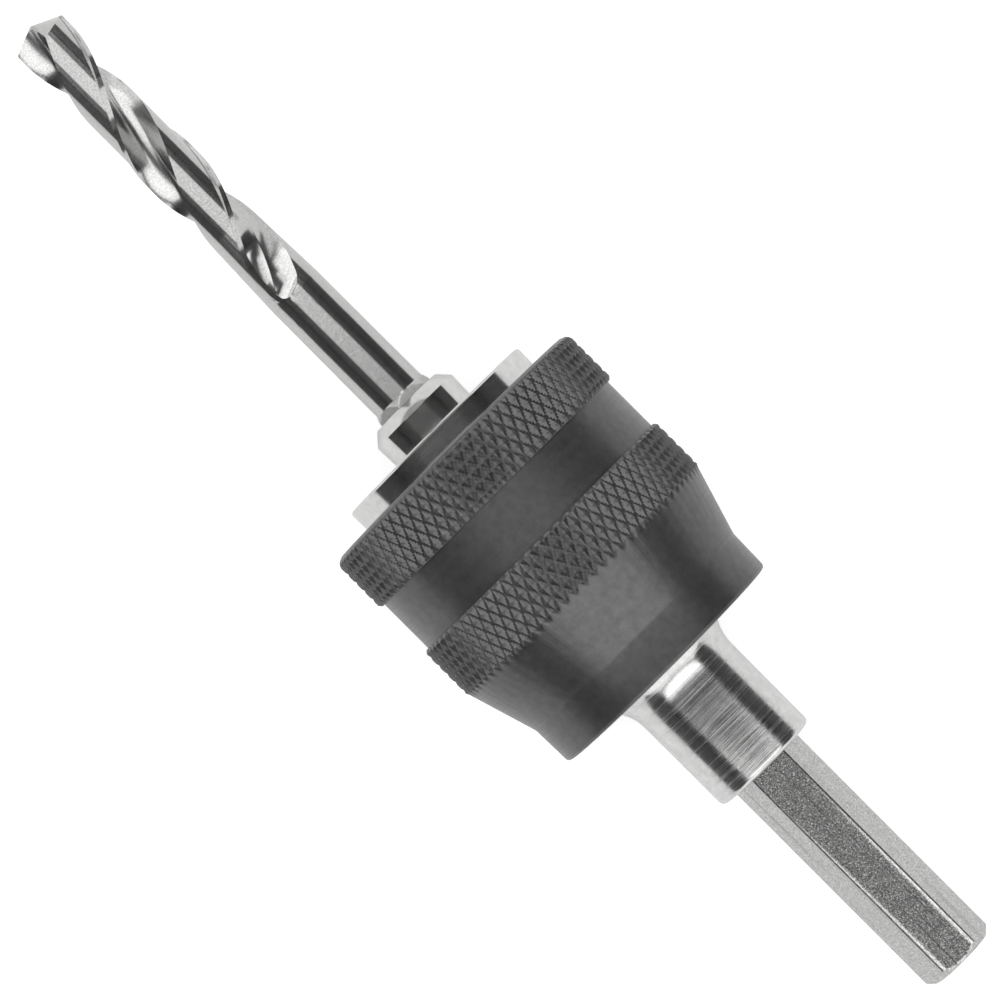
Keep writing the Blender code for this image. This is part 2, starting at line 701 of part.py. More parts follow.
def main():
    bpy.context.scene.collection.children.link(parts)
    bpy.context.scene.collection.children.link(cutters)

    spindle(material("plated_steel", (0.62, 0.62, 0.61), 1.0, 0.3))
    nose_bush(material("nose_steel", (0.66, 0.66, 0.65), 1.0, 0.25))
    nose_pin(material("spring_pin_steel", (0.35, 0.35, 0.36), 1.0, 0.4))
    pilot_drill(material("drill_steel", (0.7, 0.7, 0.69), 1.0, 0.2))
    bright = material("spring_steel", (0.45, 0.45, 0.46), 1.0, 0.35)
    split_ring("drill_clip", CLIP_R, CLIP_WIRE, radians(50), bright, CLIP_Z)
    split_ring(
        "snap_ring",
        SNAP_RING_R,
        SNAP_WIRE,
        radians(30),
        material("snap_ring_steel", (0.3, 0.3, 0.31), 1.0, 0.4),
        RING_Z,
    )
    collar_spring(material("collar_spring_steel", (0.4, 0.4, 0.41), 1.0, 0.35))
    spring_washer(material("washer_steel", (0.55, 0.55, 0.55), 1.0, 0.35))
    locking_balls(material("ball_steel", (0.75, 0.75, 0.76), 1.0, 0.08))
    locking_collar(material("black_oxide", (0.03, 0.03, 0.031), 0.4, 0.4))

    axis = bpy.data.objects.new("arbor_axis", None)
    parts.objects.link(axis)
    for piece in [*parts.objects, *cutters.objects]:
        if piece != axis:
            piece.parent = axis
    axis.rotation_euler = (0, -pi / 2, 0)
    axis.location = ((TIP_Z + SHANK_END_Z) / 2, 0, max(KNURL_D, PLAIN_BAND_D) / 2)
    for piece in parts.objects:
        finish_round(piece)


main()
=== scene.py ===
"""Quick-change hole saw arbor with its pilot drill, on a white table, seen from straight above."""

from math import asin, atan2, cos, pi, radians, sin, sqrt, tan

import bmesh
import bpy
from mathutils import Matrix, Vector


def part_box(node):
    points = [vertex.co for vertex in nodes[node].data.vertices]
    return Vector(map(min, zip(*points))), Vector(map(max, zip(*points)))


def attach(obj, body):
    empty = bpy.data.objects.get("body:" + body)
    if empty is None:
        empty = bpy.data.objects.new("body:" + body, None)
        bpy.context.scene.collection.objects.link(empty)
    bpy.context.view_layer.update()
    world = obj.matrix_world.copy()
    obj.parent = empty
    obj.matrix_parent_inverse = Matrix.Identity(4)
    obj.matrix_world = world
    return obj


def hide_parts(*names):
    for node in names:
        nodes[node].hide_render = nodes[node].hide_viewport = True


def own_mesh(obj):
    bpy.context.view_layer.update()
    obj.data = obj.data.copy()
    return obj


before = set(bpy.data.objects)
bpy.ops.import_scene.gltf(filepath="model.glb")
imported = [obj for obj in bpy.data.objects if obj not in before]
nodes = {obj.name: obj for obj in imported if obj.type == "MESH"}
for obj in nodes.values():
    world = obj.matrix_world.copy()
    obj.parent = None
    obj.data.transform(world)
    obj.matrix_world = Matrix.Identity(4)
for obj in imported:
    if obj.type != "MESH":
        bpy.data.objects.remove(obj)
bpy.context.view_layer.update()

# Camera
# The picture is taken from straight above, through a long lens, with the arbor's axis along the
# diagonal of the frame.
CAMERA_PLACE = (0.00098, -0.00025, 0.7192)
CAMERA_TURN = radians(45.05)
camera = bpy.data.objects.new("camera", bpy.data.cameras.new("camera"))
camera.location = CAMERA_PLACE
camera.rotation_euler = (0, 0, CAMERA_TURN)
camera.data.lens = 216
camera.data.clip_start = 0.01
camera.data.clip_end = 20
bpy.context.scene.collection.objects.link(camera)
bpy.context.scene.camera = camera

# Table and light
# A white table that runs out of the picture on every side. Soft panels hang over both ends of the
# arbor and stand beyond them. Between the panels the camera is under a dark cloth, which hangs
# down round the shank's end of the table, and a smaller cloth hangs beyond the drill.
PANEL_HEIGHT = 1.5
WALL_MIDDLE = 0.71
HEM, ROOF = 0.02, 1.7
CLOTH_GREY, TABLE_GREY = 0.1, 0.86
TABLE_SEEN, TABLE_MIRRORED = 0.5, 0.08
ROOM_LIGHT = 0.32


def shader_node(tree, kind, inputs=(), **settings):
    """A node with its settings, and its inputs set to values or linked to other nodes' outputs."""
    made = tree.nodes.new(kind)
    for name, value in settings.items():
        setattr(made, name, value)
    for name, value in dict(inputs).items():
        if isinstance(value, bpy.types.NodeSocket):
            tree.links.new(value, made.inputs[name])
        else:
            made.inputs[name].default_value = value
    return made


def maths(tree, operation, first, second):
    """What a maths node makes of two numbers, each plain or led by another node."""
    inputs = {0: first, 1: second}
    return shader_node(tree, "ShaderNodeMath", inputs, operation=operation).outputs[0]


def mixed(tree, mask, low, high):
    """A number between two numbers, led by a mask."""
    return shader_node(tree, "ShaderNodeMix", {0: mask, 2: low, 3: high}).outputs[0]


def lamp(name, size, power, place, in_reflections, lean=0.0):
    """A soft panel that shines straight down, or leans over towards -X or +X."""
    light = bpy.data.lights.new(name, "AREA")
    light.shape = "RECTANGLE"
    light.size, light.size_y = size
    light.energy = power
    panel = bpy.data.objects.new(name, light)
    panel.location = place
    panel.rotation_euler = (0, lean, 0)
    panel.visible_glossy = in_reflections
    bpy.context.scene.collection.objects.link(panel)


lamp("panel_over_drill", (0.3, 1.62), 1.9, (-0.21, 0, PANEL_HEIGHT), True)
lamp("panel_beyond_drill", (1.05, 3.2), 18, (-0.885, 0, PANEL_HEIGHT), True)
lamp("panel_over_shank", (1.1, 3.2), 21, (1.0, 0, PANEL_HEIGHT), True)
lamp("wall_beyond_drill", (1.4, 3.2), 5, (-1.7, 0, WALL_MIDDLE), True, -pi / 2)
lamp("wall_beyond_shank", (1.4, 3.2), 20, (1.8, 0, WALL_MIDDLE), True, pi / 2)
lamp("ceiling_fill", (2.4, 2.4), 9, (0, 0, PANEL_HEIGHT + 0.1), False)

dark_cloth = bpy.data.materials.new("dark_cloth")
dark_cloth.use_nodes = True
cloth_shader = dark_cloth.node_tree.nodes["Principled BSDF"]
cloth_shader.inputs["Base Color"].default_value = (CLOTH_GREY, CLOTH_GREY, CLOTH_GREY, 1)
cloth_shader.inputs["Roughness"].default_value = 1.0
canopy_edge = ((-2.5, HEM), (-2.5, ROOF), (2.5, ROOF), (2.5, HEM))
small_edge = ((-1.1, HEM), (-1.1, 1.0), (1.1, 1.0), (1.1, HEM))
cloth_points = [(x, y, z) for x in (-0.5, 3) for y, z in canopy_edge]
cloth_points += [(-1.42, 2.5, ROOF), (-1.42, -2.5, ROOF)]
cloth_points += [(-1.8, y, z) for y, z in small_edge]
cloth_faces = [
    (0, 1, 5, 4),
    (1, 2, 6, 5),
    (2, 3, 7, 6),
    (4, 5, 6, 7),
    (1, 2, 8, 9),
    (10, 11, 12, 13),
]
canopy_mesh = bpy.data.meshes.new("canopy")
canopy_mesh.from_pydata(cloth_points, [], cloth_faces)
canopy_mesh.materials.append(dark_cloth)
canopy = bpy.data.objects.new("canopy", canopy_mesh)
canopy.visible_camera = False
bpy.context.scene.collection.objects.link(canopy)

table_material = bpy.data.materials.new("white_table")
table_material.use_nodes = True
tree = table_material.node_tree
table_shader = tree.nodes["Principled BSDF"]
table_shader.inputs["Base Color"].default_value = (TABLE_GREY, TABLE_GREY, TABLE_GREY, 1)
table_shader.inputs["Roughness"].default_value = 0.9
table_shader.inputs["Specular IOR Level"].default_value = 0.1
path = shader_node(tree, "ShaderNodeLightPath").outputs
mirrored = maths(tree, "MAXIMUM", path["Is Glossy Ray"], path["Is Transmission Ray"])
faint = maths(tree, "MULTIPLY", mirrored, TABLE_MIRRORED)
glow = mixed(tree, path["Is Camera Ray"], faint, TABLE_SEEN)
white = shader_node(tree, "ShaderNodeEmission", {"Strength": glow})
sheet_shaders = {0: table_shader.outputs[0], 1: white.outputs[0]}
sheet = shader_node(tree, "ShaderNodeAddShader", sheet_shaders)
tree.links.new(sheet.outputs[0], tree.nodes["Material Output"].inputs["Surface"])
table_mesh = bpy.data.meshes.new("table")
table_mesh.from_pydata([(-4, -4, 0), (4, -4, 0), (4, 4, 0), (-4, 4, 0)], [], [(0, 1, 2, 3)])
table = bpy.data.objects.new("table", table_mesh)
table_mesh.materials.append(table_material)
bpy.context.scene.collection.objects.link(table)

world = bpy.data.worlds.new("studio")
bpy.context.scene.world = world
world.use_nodes = True
tree = world.node_tree
path = shader_node(tree, "ShaderNodeLightPath").outputs
seen = maths(tree, "MAXIMUM", path["Is Camera Ray"], path["Is Glossy Ray"])
shown = maths(tree, "MAXIMUM", seen, path["Is Transmission Ray"])
level = maths(tree, "MAXIMUM", shown, ROOM_LIGHT)
tree.links.new(level, tree.nodes["Background"].inputs["Strength"])
tree.nodes["Background"].inputs["Color"].default_value = (1, 1, 1, 1)
bpy.context.scene.view_settings.view_transform = "Standard"

# Spindle
# The arbor's body: a steel bar turned to barrel, flange and neck, with a hexagonal shank milled on
# its back end and a hexagonal socket in its front. It is plated, and its turning lines show.
AXIS_Z = (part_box("locking_collar")[0][2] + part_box("locking_collar")[1][2]) / 2
RIM_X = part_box("spindle")[0][0]
CORE_BORE_R = 0.0064
SOCKET_FLATS = 0.021
SOCKET_FLOOR = 0.0169
BARREL_R = 0.01375
RING_GROOVE_R = 0.01305
SPRING_CORE_R = 0.01275
FLANGE_START, FLANGE_END = 0.0333, 0.0363
FLANGE_R = 0.0146
SHANK_FLATS = 0.00873
SHANK_EDGE_R = 0.00497
SHANK_START, SHANK_END = 0.05485, 0.0862
CHAMFER_STEP = 0.00017
BALL_X = RIM_X + 0.0144
BALL_HOLE_R, BALL_HOLE_MOUTH_R = 0.0015, 0.002625
PIN_X = RIM_X + 0.0239
PIN_HOLE_R = 0.0018


def shader_group(name, inputs, outputs):
    """An empty node group with named inputs, each with its usual value, and named outputs."""
    group = bpy.data.node_groups.new(name, "ShaderNodeTree")
    for label, value in inputs.items():
        socket = group.interface.new_socket(label, in_out="INPUT", socket_type="NodeSocketFloat")
        socket.default_value = value
    for label in outputs:
        group.interface.new_socket(label, in_out="OUTPUT", socket_type="NodeSocketFloat")
    return group, group.nodes.new("NodeGroupInput"), group.nodes.new("NodeGroupOutput")


def surface_place(tree):
    """Where a point of the surface is on the arbor."""
    return shader_node(tree, "ShaderNodeTexCoord").outputs["Object"]


def stretched(tree, place, along, across):
    """A place scaled along the axis, and across it, each by a maths node's (operation, value)."""
    apart = shader_node(tree, "ShaderNodeSeparateXYZ", {0: place})
    ways = enumerate((along, across, across))
    scaled = {i: maths(tree, how, apart.outputs[i], amount) for i, (how, amount) in ways}
    return shader_node(tree, "ShaderNodeCombineXYZ", scaled).outputs[0]


def noise(tree, place, scale, detail, roughness):
    """An uneven pattern from 0 to 1."""
    inputs = {"Vector": place, "Scale": scale, "Detail": detail, "Roughness": roughness}
    return shader_node(tree, "ShaderNodeTexNoise", inputs).outputs["Fac"]


def turning_lines_group():
    """Fine lines round the arbor's axis, as a cutting tool or a grinding wheel leaves them."""
    sizes = {"Spacing": 0.0001, "Break Up": 40.0}
    group, given, out = shader_group("turning_lines", sizes, ["Lines", "Cloud"])
    place = surface_place(group)
    along = ("DIVIDE", given.outputs["Spacing"])
    across = ("MULTIPLY", given.outputs["Break Up"])
    lines = noise(group, stretched(group, place, along, across), 1.0, 3.0, 0.6)
    group.links.new(lines, out.inputs["Lines"])
    group.links.new(noise(group, place, 900.0, 4.0, 0.65), out.inputs["Cloud"])
    return group


def steel_grain_group():
    """The sandy grain of a drawn and tumbled steel face."""
    group, given, out = shader_group("steel_grain", {"Size": 0.0002}, ["Grain"])
    inputs = {0: surface_place(group), 1: given.outputs["Size"]}
    scaled = shader_node(group, "ShaderNodeVectorMath", inputs, operation="DIVIDE")
    group.links.new(noise(group, scaled.outputs[0], 1.0, 2.0, 0.7), out.inputs["Grain"])
    return group


def drawn_lines_group():
    """Thin scratches along the arbor's axis, as drawing a bar through a die leaves them."""
    group, given, out = shader_group("drawn_lines", {"Spacing": 0.0002}, ["Lines"])
    across = ("DIVIDE", given.outputs["Spacing"])
    place = stretched(group, surface_place(group), ("MULTIPLY", 35.0), across)
    group.links.new(noise(group, place, 1.0, 1.0, 0.5), out.inputs["Lines"])
    return group


def axis_distance_group():
    """How far a point is from the arbor's axis."""
    group, given, out = shader_group("axis_distance", {}, ["Distance"])
    inputs = {0: surface_place(group), 1: (0, 0, -AXIS_Z)}
    centred = shader_node(group, "ShaderNodeVectorMath", inputs, operation="ADD")
    inputs = {0: centred.outputs[0], 1: (0, 1, 1)}
    across = shader_node(group, "ShaderNodeVectorMath", inputs, operation="MULTIPLY")
    inputs = {0: across.outputs[0]}
    distance = shader_node(group, "ShaderNodeVectorMath", inputs, operation="LENGTH")
    group.links.new(distance.outputs["Value"], out.inputs["Distance"])
    return group


turning_lines = turning_lines_group()
steel_grain = steel_grain_group()
drawn_lines = drawn_lines_group()
axis_distance = axis_distance_group()


def placed_group(tree, group, **inputs):
    """The outputs of a shader group that is placed in a material with its own values."""
    made = tree.nodes.new("ShaderNodeGroup")
    made.node_tree = group
    for name, value in inputs.items():
        made.inputs[name.replace("_", " ").title()].default_value = value
    return made.outputs


def between(tree, value, low, high, start=0.3, end=0.7):
    """A number that goes from low to high as a value goes from start to end."""
    inputs = {"Value": value, "From Min": start, "From Max": end, "To Min": low, "To Max": high}
    return shader_node(tree, "ShaderNodeMapRange", inputs).outputs[0]


def mask(tree, value, start=0.3, end=0.7):
    """0 to 1 as a value goes from start to end."""
    return between(tree, value, 0.0, 1.0, start, end)


def blended(tree, led_by, first, second):
    """A colour between two colours, led by a mask."""
    made = shader_node(tree, "ShaderNodeMix", data_type="RGBA")
    tree.links.new(led_by, made.inputs[0])
    for socket, colour in ((6, first), (7, second)):
        if isinstance(colour, bpy.types.NodeSocket):
            tree.links.new(colour, made.inputs[socket])
        else:
            made.inputs[socket].default_value = (*colour, 1)
    return made.outputs[2]


def raised(tree, height, distance, strength=1.0):
    """The normal of a surface that a pattern raises."""
    inputs = {"Strength": strength, "Distance": distance, "Height": height}
    return shader_node(tree, "ShaderNodeBump", inputs).outputs[0]


def metal(name, metallic=1.0):
    """A new metal material, its node tree and its shader's inputs."""
    made = bpy.data.materials.new(name)
    made.use_nodes = True
    shader = made.node_tree.nodes["Principled BSDF"]
    shader.inputs["Metallic"].default_value = metallic
    return made, made.node_tree, shader.inputs


def turned_steel(name, dark_tone, light_tone, smooth, rough, spacing, ridge):
    """Bright steel with turning lines, and a faint cloudiness from handling."""
    made, tree, inputs = metal(name)
    turned = placed_group(tree, turning_lines, spacing=spacing, break_up=40.0)
    tone = blended(tree, mask(tree, turned["Cloud"]), dark_tone, light_tone)
    tree.links.new(tone, inputs["Base Color"])
    tree.links.new(between(tree, turned["Lines"], smooth, rough), inputs["Roughness"])
    tree.links.new(raised(tree, turned["Lines"], ridge), inputs["Normal"])
    return made


def dress(node, material):
    """Gives a CAD piece its finish."""
    nodes[node].data.materials.clear()
    nodes[node].data.materials.append(material)


def on_axis(along, radius, angle):
    """A point at a distance from the arbor's axis, turned from straight up towards +Y."""
    return Vector((along, radius * sin(angle), AXIS_Z + radius * cos(angle)))


def hexagon(across_flats, clocking=0.0):
    """The radius of a hexagon's side at each angle about its middle."""
    return lambda angle: across_flats / 2 / cos((angle - clocking + pi / 6) % (pi / 3) - pi / 6)


def round_rings(places, columns, clocking=0.0):
    """Rings of points about the axis, each from (place behind the rim, radius or its function)."""
    angles = [clocking + 2 * pi * i / columns for i in range(columns)]
    return [
        [on_axis(RIM_X + s, r(a) if callable(r) else r, a) for a in angles] for s, r in places
    ]


def arc(along, radius, bend, start, end, count):
    """(place along the axis, radius) points on an arc about a middle, between two angles."""
    turns = [start + (end - start) * i / count for i in range(count + 1)]
    return [(along + bend * sin(t), radius + bend * cos(t)) for t in turns]


def skin(rings, looped=False):
    """A mesh over rings of points, closed on itself or with a face across each end."""
    bm = bmesh.new()
    made = [[bm.verts.new(point) for point in ring] for ring in rings]
    count = len(made[0])
    for near, far in zip(made, made[1:] + (made[:1] if looped else [])):
        for i in range(count):
            j = (i + 1) % count
            bm.faces.new((near[i], near[j], far[j], far[i]))
    if not looped:
        bm.faces.new(made[0])
        bm.faces.new(reversed(made[-1]))
    bmesh.ops.recalc_face_normals(bm, faces=bm.faces)
    return bm


def placed(name, bm, material):
    """A new piece from what a bmesh holds."""
    mesh = bpy.data.meshes.new(name)
    bm.to_mesh(mesh)
    bm.free()
    mesh.materials.append(material)
    piece = bpy.data.objects.new(name, mesh)
    bpy.context.scene.collection.objects.link(piece)
    return piece


def drilled(piece, start, end, radius, end_radius):
    """Drills a round or conical hole through a piece, from one point to another."""
    bm = bmesh.new()
    way = Vector(end) - Vector(start)
    bmesh.ops.create_cone(
        bm, cap_ends=True, segments=48, radius1=radius, radius2=end_radius, depth=way.length
    )
    turn = way.to_track_quat("Z", "Y").to_matrix().to_4x4()
    moved = Matrix.Translation(Vector(start) + way / 2) @ turn
    bmesh.ops.transform(bm, matrix=moved, verts=bm.verts)
    cutter = placed("cutter", bm, None)
    boolean = piece.modifiers.new("hole", "BOOLEAN")
    boolean.object = cutter
    graph = bpy.context.evaluated_depsgraph_get()
    piece.data = bpy.data.meshes.new_from_object(piece.evaluated_get(graph))
    piece.modifiers.clear()
    bpy.data.objects.remove(cutter)


def cross_drilled(piece, reach):
    """Drills the cross pin's hole through a piece."""
    start, end = on_axis(PIN_X, reach, pi / 2), on_axis(PIN_X, reach, -pi / 2)
    drilled(piece, start, end, PIN_HOLE_R, PIN_HOLE_R)


def shaded(piece, angle=radians(30)):
    """Shades a piece smooth apart from its edges."""
    piece.data.shade_smooth()
    piece.data.set_sharp_from_angle(angle=angle)


# The bored and turned outline, as (place behind the rim, radius)
socket, shank = hexagon(SOCKET_FLATS), hexagon(SHANK_FLATS)
spindle_places = [
    (0.0292, CORE_BORE_R),
    (SOCKET_FLOOR, CORE_BORE_R),
    (SOCKET_FLOOR, socket),
    (0.0011, socket),
    (0.0006, lambda a: max(socket(a), 0.0110)),
    (0.0, lambda a: max(socket(a), 0.0116)),
    (0.0, 0.01345),
    (0.0001, 0.01362),
    (0.0003, BARREL_R),
    (0.0029, 0.0137),
    (0.0029, RING_GROOVE_R),
    (0.0047, RING_GROOVE_R),
    (0.0047, BARREL_R),
    (0.0179, BARREL_R),
    (0.0189, SPRING_CORE_R),
    (FLANGE_START, SPRING_CORE_R),
    (FLANGE_START, FLANGE_R),
    (FLANGE_END, FLANGE_R),
    *arc(0.0419, 0.012675, -0.0056, pi / 2, 0, 14),
    *arc(0.05415, 0.006375, 0.0007, 0, pi / 2, 5),
    (SHANK_START, lambda a: min(shank(a), SHANK_EDGE_R)),
    (SHANK_END, lambda a: min(shank(a), SHANK_EDGE_R)),
]
for i in range(6):
    cut = i * CHAMFER_STEP
    spindle_places.append((SHANK_END + cut, lambda a, limit=0.005 - cut: min(shank(a), limit)))

plated_steel, tree, inputs = metal("plated_steel")
along = shader_node(tree, "ShaderNodeSeparateXYZ", {0: surface_place(tree)}).outputs["X"]
milled = mask(tree, along, RIM_X + 0.0548, RIM_X + 0.0549)
on_neck = mask(tree, along, RIM_X + 0.0362, RIM_X + 0.0364)
turned = placed_group(tree, turning_lines, spacing=0.00013, break_up=60.0)
grain = placed_group(tree, steel_grain, size=0.00017)["Grain"]
drawn = placed_group(tree, drawn_lines, spacing=0.00016)["Lines"]
grain_mask = mask(tree, grain, 0.35, 0.65)
grain_tone = blended(tree, grain_mask, (0.26, 0.26, 0.26), (0.64, 0.64, 0.63))
shank_tone = blended(tree, mask(tree, drawn, 0.66, 0.7), grain_tone, (0.22, 0.22, 0.22))
turned_tone = blended(tree, mask(tree, turned["Cloud"]), (0.52, 0.52, 0.52), (0.66, 0.66, 0.65))
tree.links.new(blended(tree, milled, turned_tone, shank_tone), inputs["Base Color"])
rim_gloss = between(tree, turned["Lines"], 0.08, 0.14)
neck_gloss = between(tree, turned["Lines"], 0.1, 0.32)
shank_gloss = between(tree, grain, 0.12, 0.28)
gloss = mixed(tree, milled, mixed(tree, on_neck, rim_gloss, neck_gloss), shank_gloss)
tree.links.new(gloss, inputs["Roughness"])
ridges = raised(tree, turned["Lines"], 0.000009, mixed(tree, on_neck, 0.3, 1.0))
pits = raised(tree, grain, 0.00002)
relief = {0: milled, 4: ridges, 5: pits}
dents = shader_node(tree, "ShaderNodeMix", relief, data_type="VECTOR")
tree.links.new(dents.outputs[1], inputs["Normal"])

spindle = placed("turned_spindle", skin(round_rings(spindle_places, 192)), plated_steel)
for i in range(3):
    angle = pi / 2 + 2 * pi * i / 3
    inner, outer = on_axis(BALL_X, 0.01075, angle), on_axis(BALL_X, 0.01525, angle)
    drilled(spindle, inner, outer, BALL_HOLE_R, BALL_HOLE_MOUTH_R)
cross_drilled(spindle, 0.02)
shaded(spindle)
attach(spindle, "spindle")
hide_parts("spindle")

# Nose
# A hardened bush, turned and ground, pressed into the spindle's core and cross-pinned there. The
# drill's hexagonal tail sits in its bore.
NOSE_CLOCKING = radians(16.8)
NOSE_FRONT = -0.0046
NOSE_R = 0.0061
PRESSED_R = 0.006
CLIP_GROOVE_R = 0.005028
tail_bore = hexagon(0.00755, NOSE_CLOCKING)
nose_places = [
    (0.0177, tail_bore),
    (0.0087, tail_bore),
    (0.0087, CLIP_GROOVE_R),
    (0.0071, CLIP_GROOVE_R),
    (0.0071, tail_bore),
    (NOSE_FRONT, tail_bore),
    (NOSE_FRONT, 0.0047),
    (NOSE_FRONT, 0.00475),
    (-0.00456, 0.00481),
    (-0.0032, 0.00606),
    (-0.00315, NOSE_R),
    (-0.00305, NOSE_R),
    (0.0, PRESSED_R),
    (0.0286, PRESSED_R),
    (0.0289, 0.0057),
]
nose_steel = turned_steel(
    "nose_steel", (0.54, 0.54, 0.53), (0.64, 0.64, 0.63), 0.06, 0.14, 0.0001, 0.0000015
)
nose = placed("nose", skin(round_rings(nose_places, 144, NOSE_CLOCKING)), nose_steel)
cross_drilled(nose, 0.01)
shaded(nose)
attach(nose, "spindle")
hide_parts("nose_bush")
spring_pin_steel = turned_steel(
    "spring_pin_steel", (0.28, 0.28, 0.3), (0.36, 0.36, 0.38), 0.3, 0.45, 0.0002, 0.000003
)
dress("nose_pin", spring_pin_steel)

# Clip and snap ring
# Both are bent from round spring wire. The clip sits in a groove of the nose and holds the drill's
# tail, and the ring sits in a groove of the barrel and stops the collar at the front.
SNAP_WIRE_R = 0.0007
SNAP_R = 0.01395
SNAP_X = RIM_X + 0.0038
SNAP_STEPS = 120
spring_steel = turned_steel(
    "spring_steel", (0.42, 0.42, 0.43), (0.5, 0.5, 0.5), 0.25, 0.4, 0.0003, 0.000002
)
dress("drill_clip", spring_steel)
snap_wire = bpy.data.curves.new("snap_wire", "CURVE")
snap_wire.dimensions = "3D"
snap_wire.bevel_depth = SNAP_WIRE_R
snap_wire.bevel_resolution = 5
snap_wire.use_fill_caps = True
spline = snap_wire.splines.new("POLY")
spline.points.add(SNAP_STEPS)
for i, point in enumerate(spline.points):
    point.co = (*on_axis(SNAP_X, SNAP_R, radians(15 + 330 * i / SNAP_STEPS)), 1)
snap_ring_steel = turned_steel(
    "snap_ring_steel", (0.26, 0.26, 0.27), (0.34, 0.34, 0.35), 0.3, 0.45, 0.0003, 0.000002
)
snap_wire.materials.append(snap_ring_steel)
snap_ring = bpy.data.objects.new("snap_wire", snap_wire)
bpy.context.scene.collection.objects.link(snap_ring)
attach(snap_ring, "spindle")
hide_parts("snap_ring")

# Spring and washer
# The compression spring behind the collar's shoulder, wound from round wire with a closed turn at
# each end, and the pressed washer in front of it. The spring shortens against the flange.
SPRING_WIRE_R = 0.00075
SPRING_R = 0.013825
SPRING_PITCH = 0.00388
SPRING_CLOSED = 0.00162
SPRING_TURNS, SPRING_OPEN_TURNS = 4, 2
SPRING_STEPS = 48
spring_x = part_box("collar_spring")[0][0]
coil_rings = []
for i in range(SPRING_TURNS * SPRING_STEPS + 1):
    turn = i / SPRING_STEPS
    in_open = min(max(turn - 1, 0), SPRING_OPEN_TURNS)
    middle = spring_x + SPRING_WIRE_R + SPRING_CLOSED * (turn - in_open) + SPRING_PITCH * in_open
    section = arc(middle, SPRING_R, SPRING_WIRE_R, 0, 2 * pi, 12)[:-1]
    coil_rings.append([on_axis(x, r, 2 * pi * turn) for x, r in section])
collar_spring_steel = turned_steel(
    "collar_spring_steel", (0.36, 0.36, 0.37), (0.44, 0.44, 0.45), 0.25, 0.45, 0.0003, 0.000002
)
coil = placed("coil", skin(coil_rings), collar_spring_steel)
shaded(coil, radians(40))
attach(coil, "spindle")
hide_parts("collar_spring")
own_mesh(coil)
washer_steel = turned_steel(
    "washer_steel", (0.5, 0.5, 0.5), (0.58, 0.58, 0.58), 0.3, 0.45, 0.0002, 0.000003
)
dress("spring_washer", washer_steel)

# Locking balls
# Three polished bearing balls. Each lies in its hole through the barrel's wall, where the collar
# presses it into the socket.
ball_steel = turned_steel(
    "ball_steel", (0.72, 0.72, 0.73), (0.78, 0.78, 0.79), 0.06, 0.1, 0.0005, 0.0000005
)
for number in (1, 2, 3):
    low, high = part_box(f"locking_ball_{number}")
    bm = bmesh.new()
    bmesh.ops.create_icosphere(bm, subdivisions=4, radius=(high[2] - low[2]) / 2)
    bmesh.ops.translate(bm, verts=bm.verts, vec=(Vector(low) + Vector(high)) / 2)
    ball = placed(f"ball_{number}", bm, ball_steel)
    ball.data.shade_smooth()
    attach(ball, f"ball_{number}")
    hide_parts(f"locking_ball_{number}")

# Pilot drill
# A 7.15 mm twist drill of high-speed steel, ground and polished: two right-hand flutes, lands
# relieved behind their margins, a 135 degree point, and a hexagonal tail that shows in front of
# the nose.
DRILL_D = 0.00715
LAND_D = 0.0064
MARGIN = 0.0008
MARGIN_STEP = radians(1.5)
WEB = 0.0011
WEB_TAPER = 0.012
LEAD = 0.0419
FLUTE_OPENING = radians(94)
FLUTE_ROUND = 0.0015
FLUTE_SHARP = 0.00004
FLUTE_LENGTH = 0.0439
FLUTE_EDGE = 0.00003
FLUTE_SAG = 0.06
FLUTE_CLOCKING = radians(-18)
HEX_FRONT = 0.06094
HEX_CONE = 0.0009
TAIL_CHAMFER = 0.0006
POINT_ANGLE = radians(135)
RELIEF_ANGLE = radians(12)
LAND_ANGLE = radians(100)

# Where the grinding wheel leaves the drill, the flutes' floor rises in two slopes: first to a
# share of the drill's radius, and then out through its side. The flute's sides draw in to a round
# end. A depth on the drill is a distance behind its tip.
RUN_OUT = 0.0105
RUN_OUT_FLOOR = 0.0285
FIRST_SLOPE, BOTH_SLOPES = 0.0078, 0.014
FIRST_RISE = 0.78
RUN_OUT_LEAD = radians(-4.5)
RUN_OUT_HEEL = radians(51)
RUN_OUT_MIDDLE = radians(25)
RUN_OUT_ROUND = 0.16

WALL_POINTS, CORNER_POINTS, LAND_POINTS = 10, 16, 25
POINT_RINGS, BODY_RINGS, RUN_OUT_RINGS = 12, 100, 80
TAIL_RINGS, CONE_RINGS = 12, 8
drill_low, drill_high = map(Vector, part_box("pilot_drill"))
TIP_X = drill_low.x
TAIL_X = drill_high.x


def polar(radius, angle):
    """A point of a cross-section."""
    return Vector((radius * cos(angle), radius * sin(angle)))


def flute_corner(depth):
    """How far the corner of a flute's two sides is from the axis."""
    return WEB / 2 + WEB_TAPER * max(0, depth) - FLUTE_ROUND * cos(FLUTE_OPENING / 2) / 2


def side_angle(corner_r, at_r):
    """The angle about the axis from a flute's corner to where its straight side meets a circle."""
    half = FLUTE_OPENING / 2
    return half - asin(corner_r * sin(half) / at_r)


def drill_turn(depth):
    """How far the flutes have turned."""
    return FLUTE_CLOCKING - 2 * pi * depth / LEAD


def eased(value, start, end):
    """0 before the start, 1 past the end, and a smooth rise between."""
    t = min(1, max(0, (value - start) / (end - start)))
    return t * t * (3 - 2 * t)


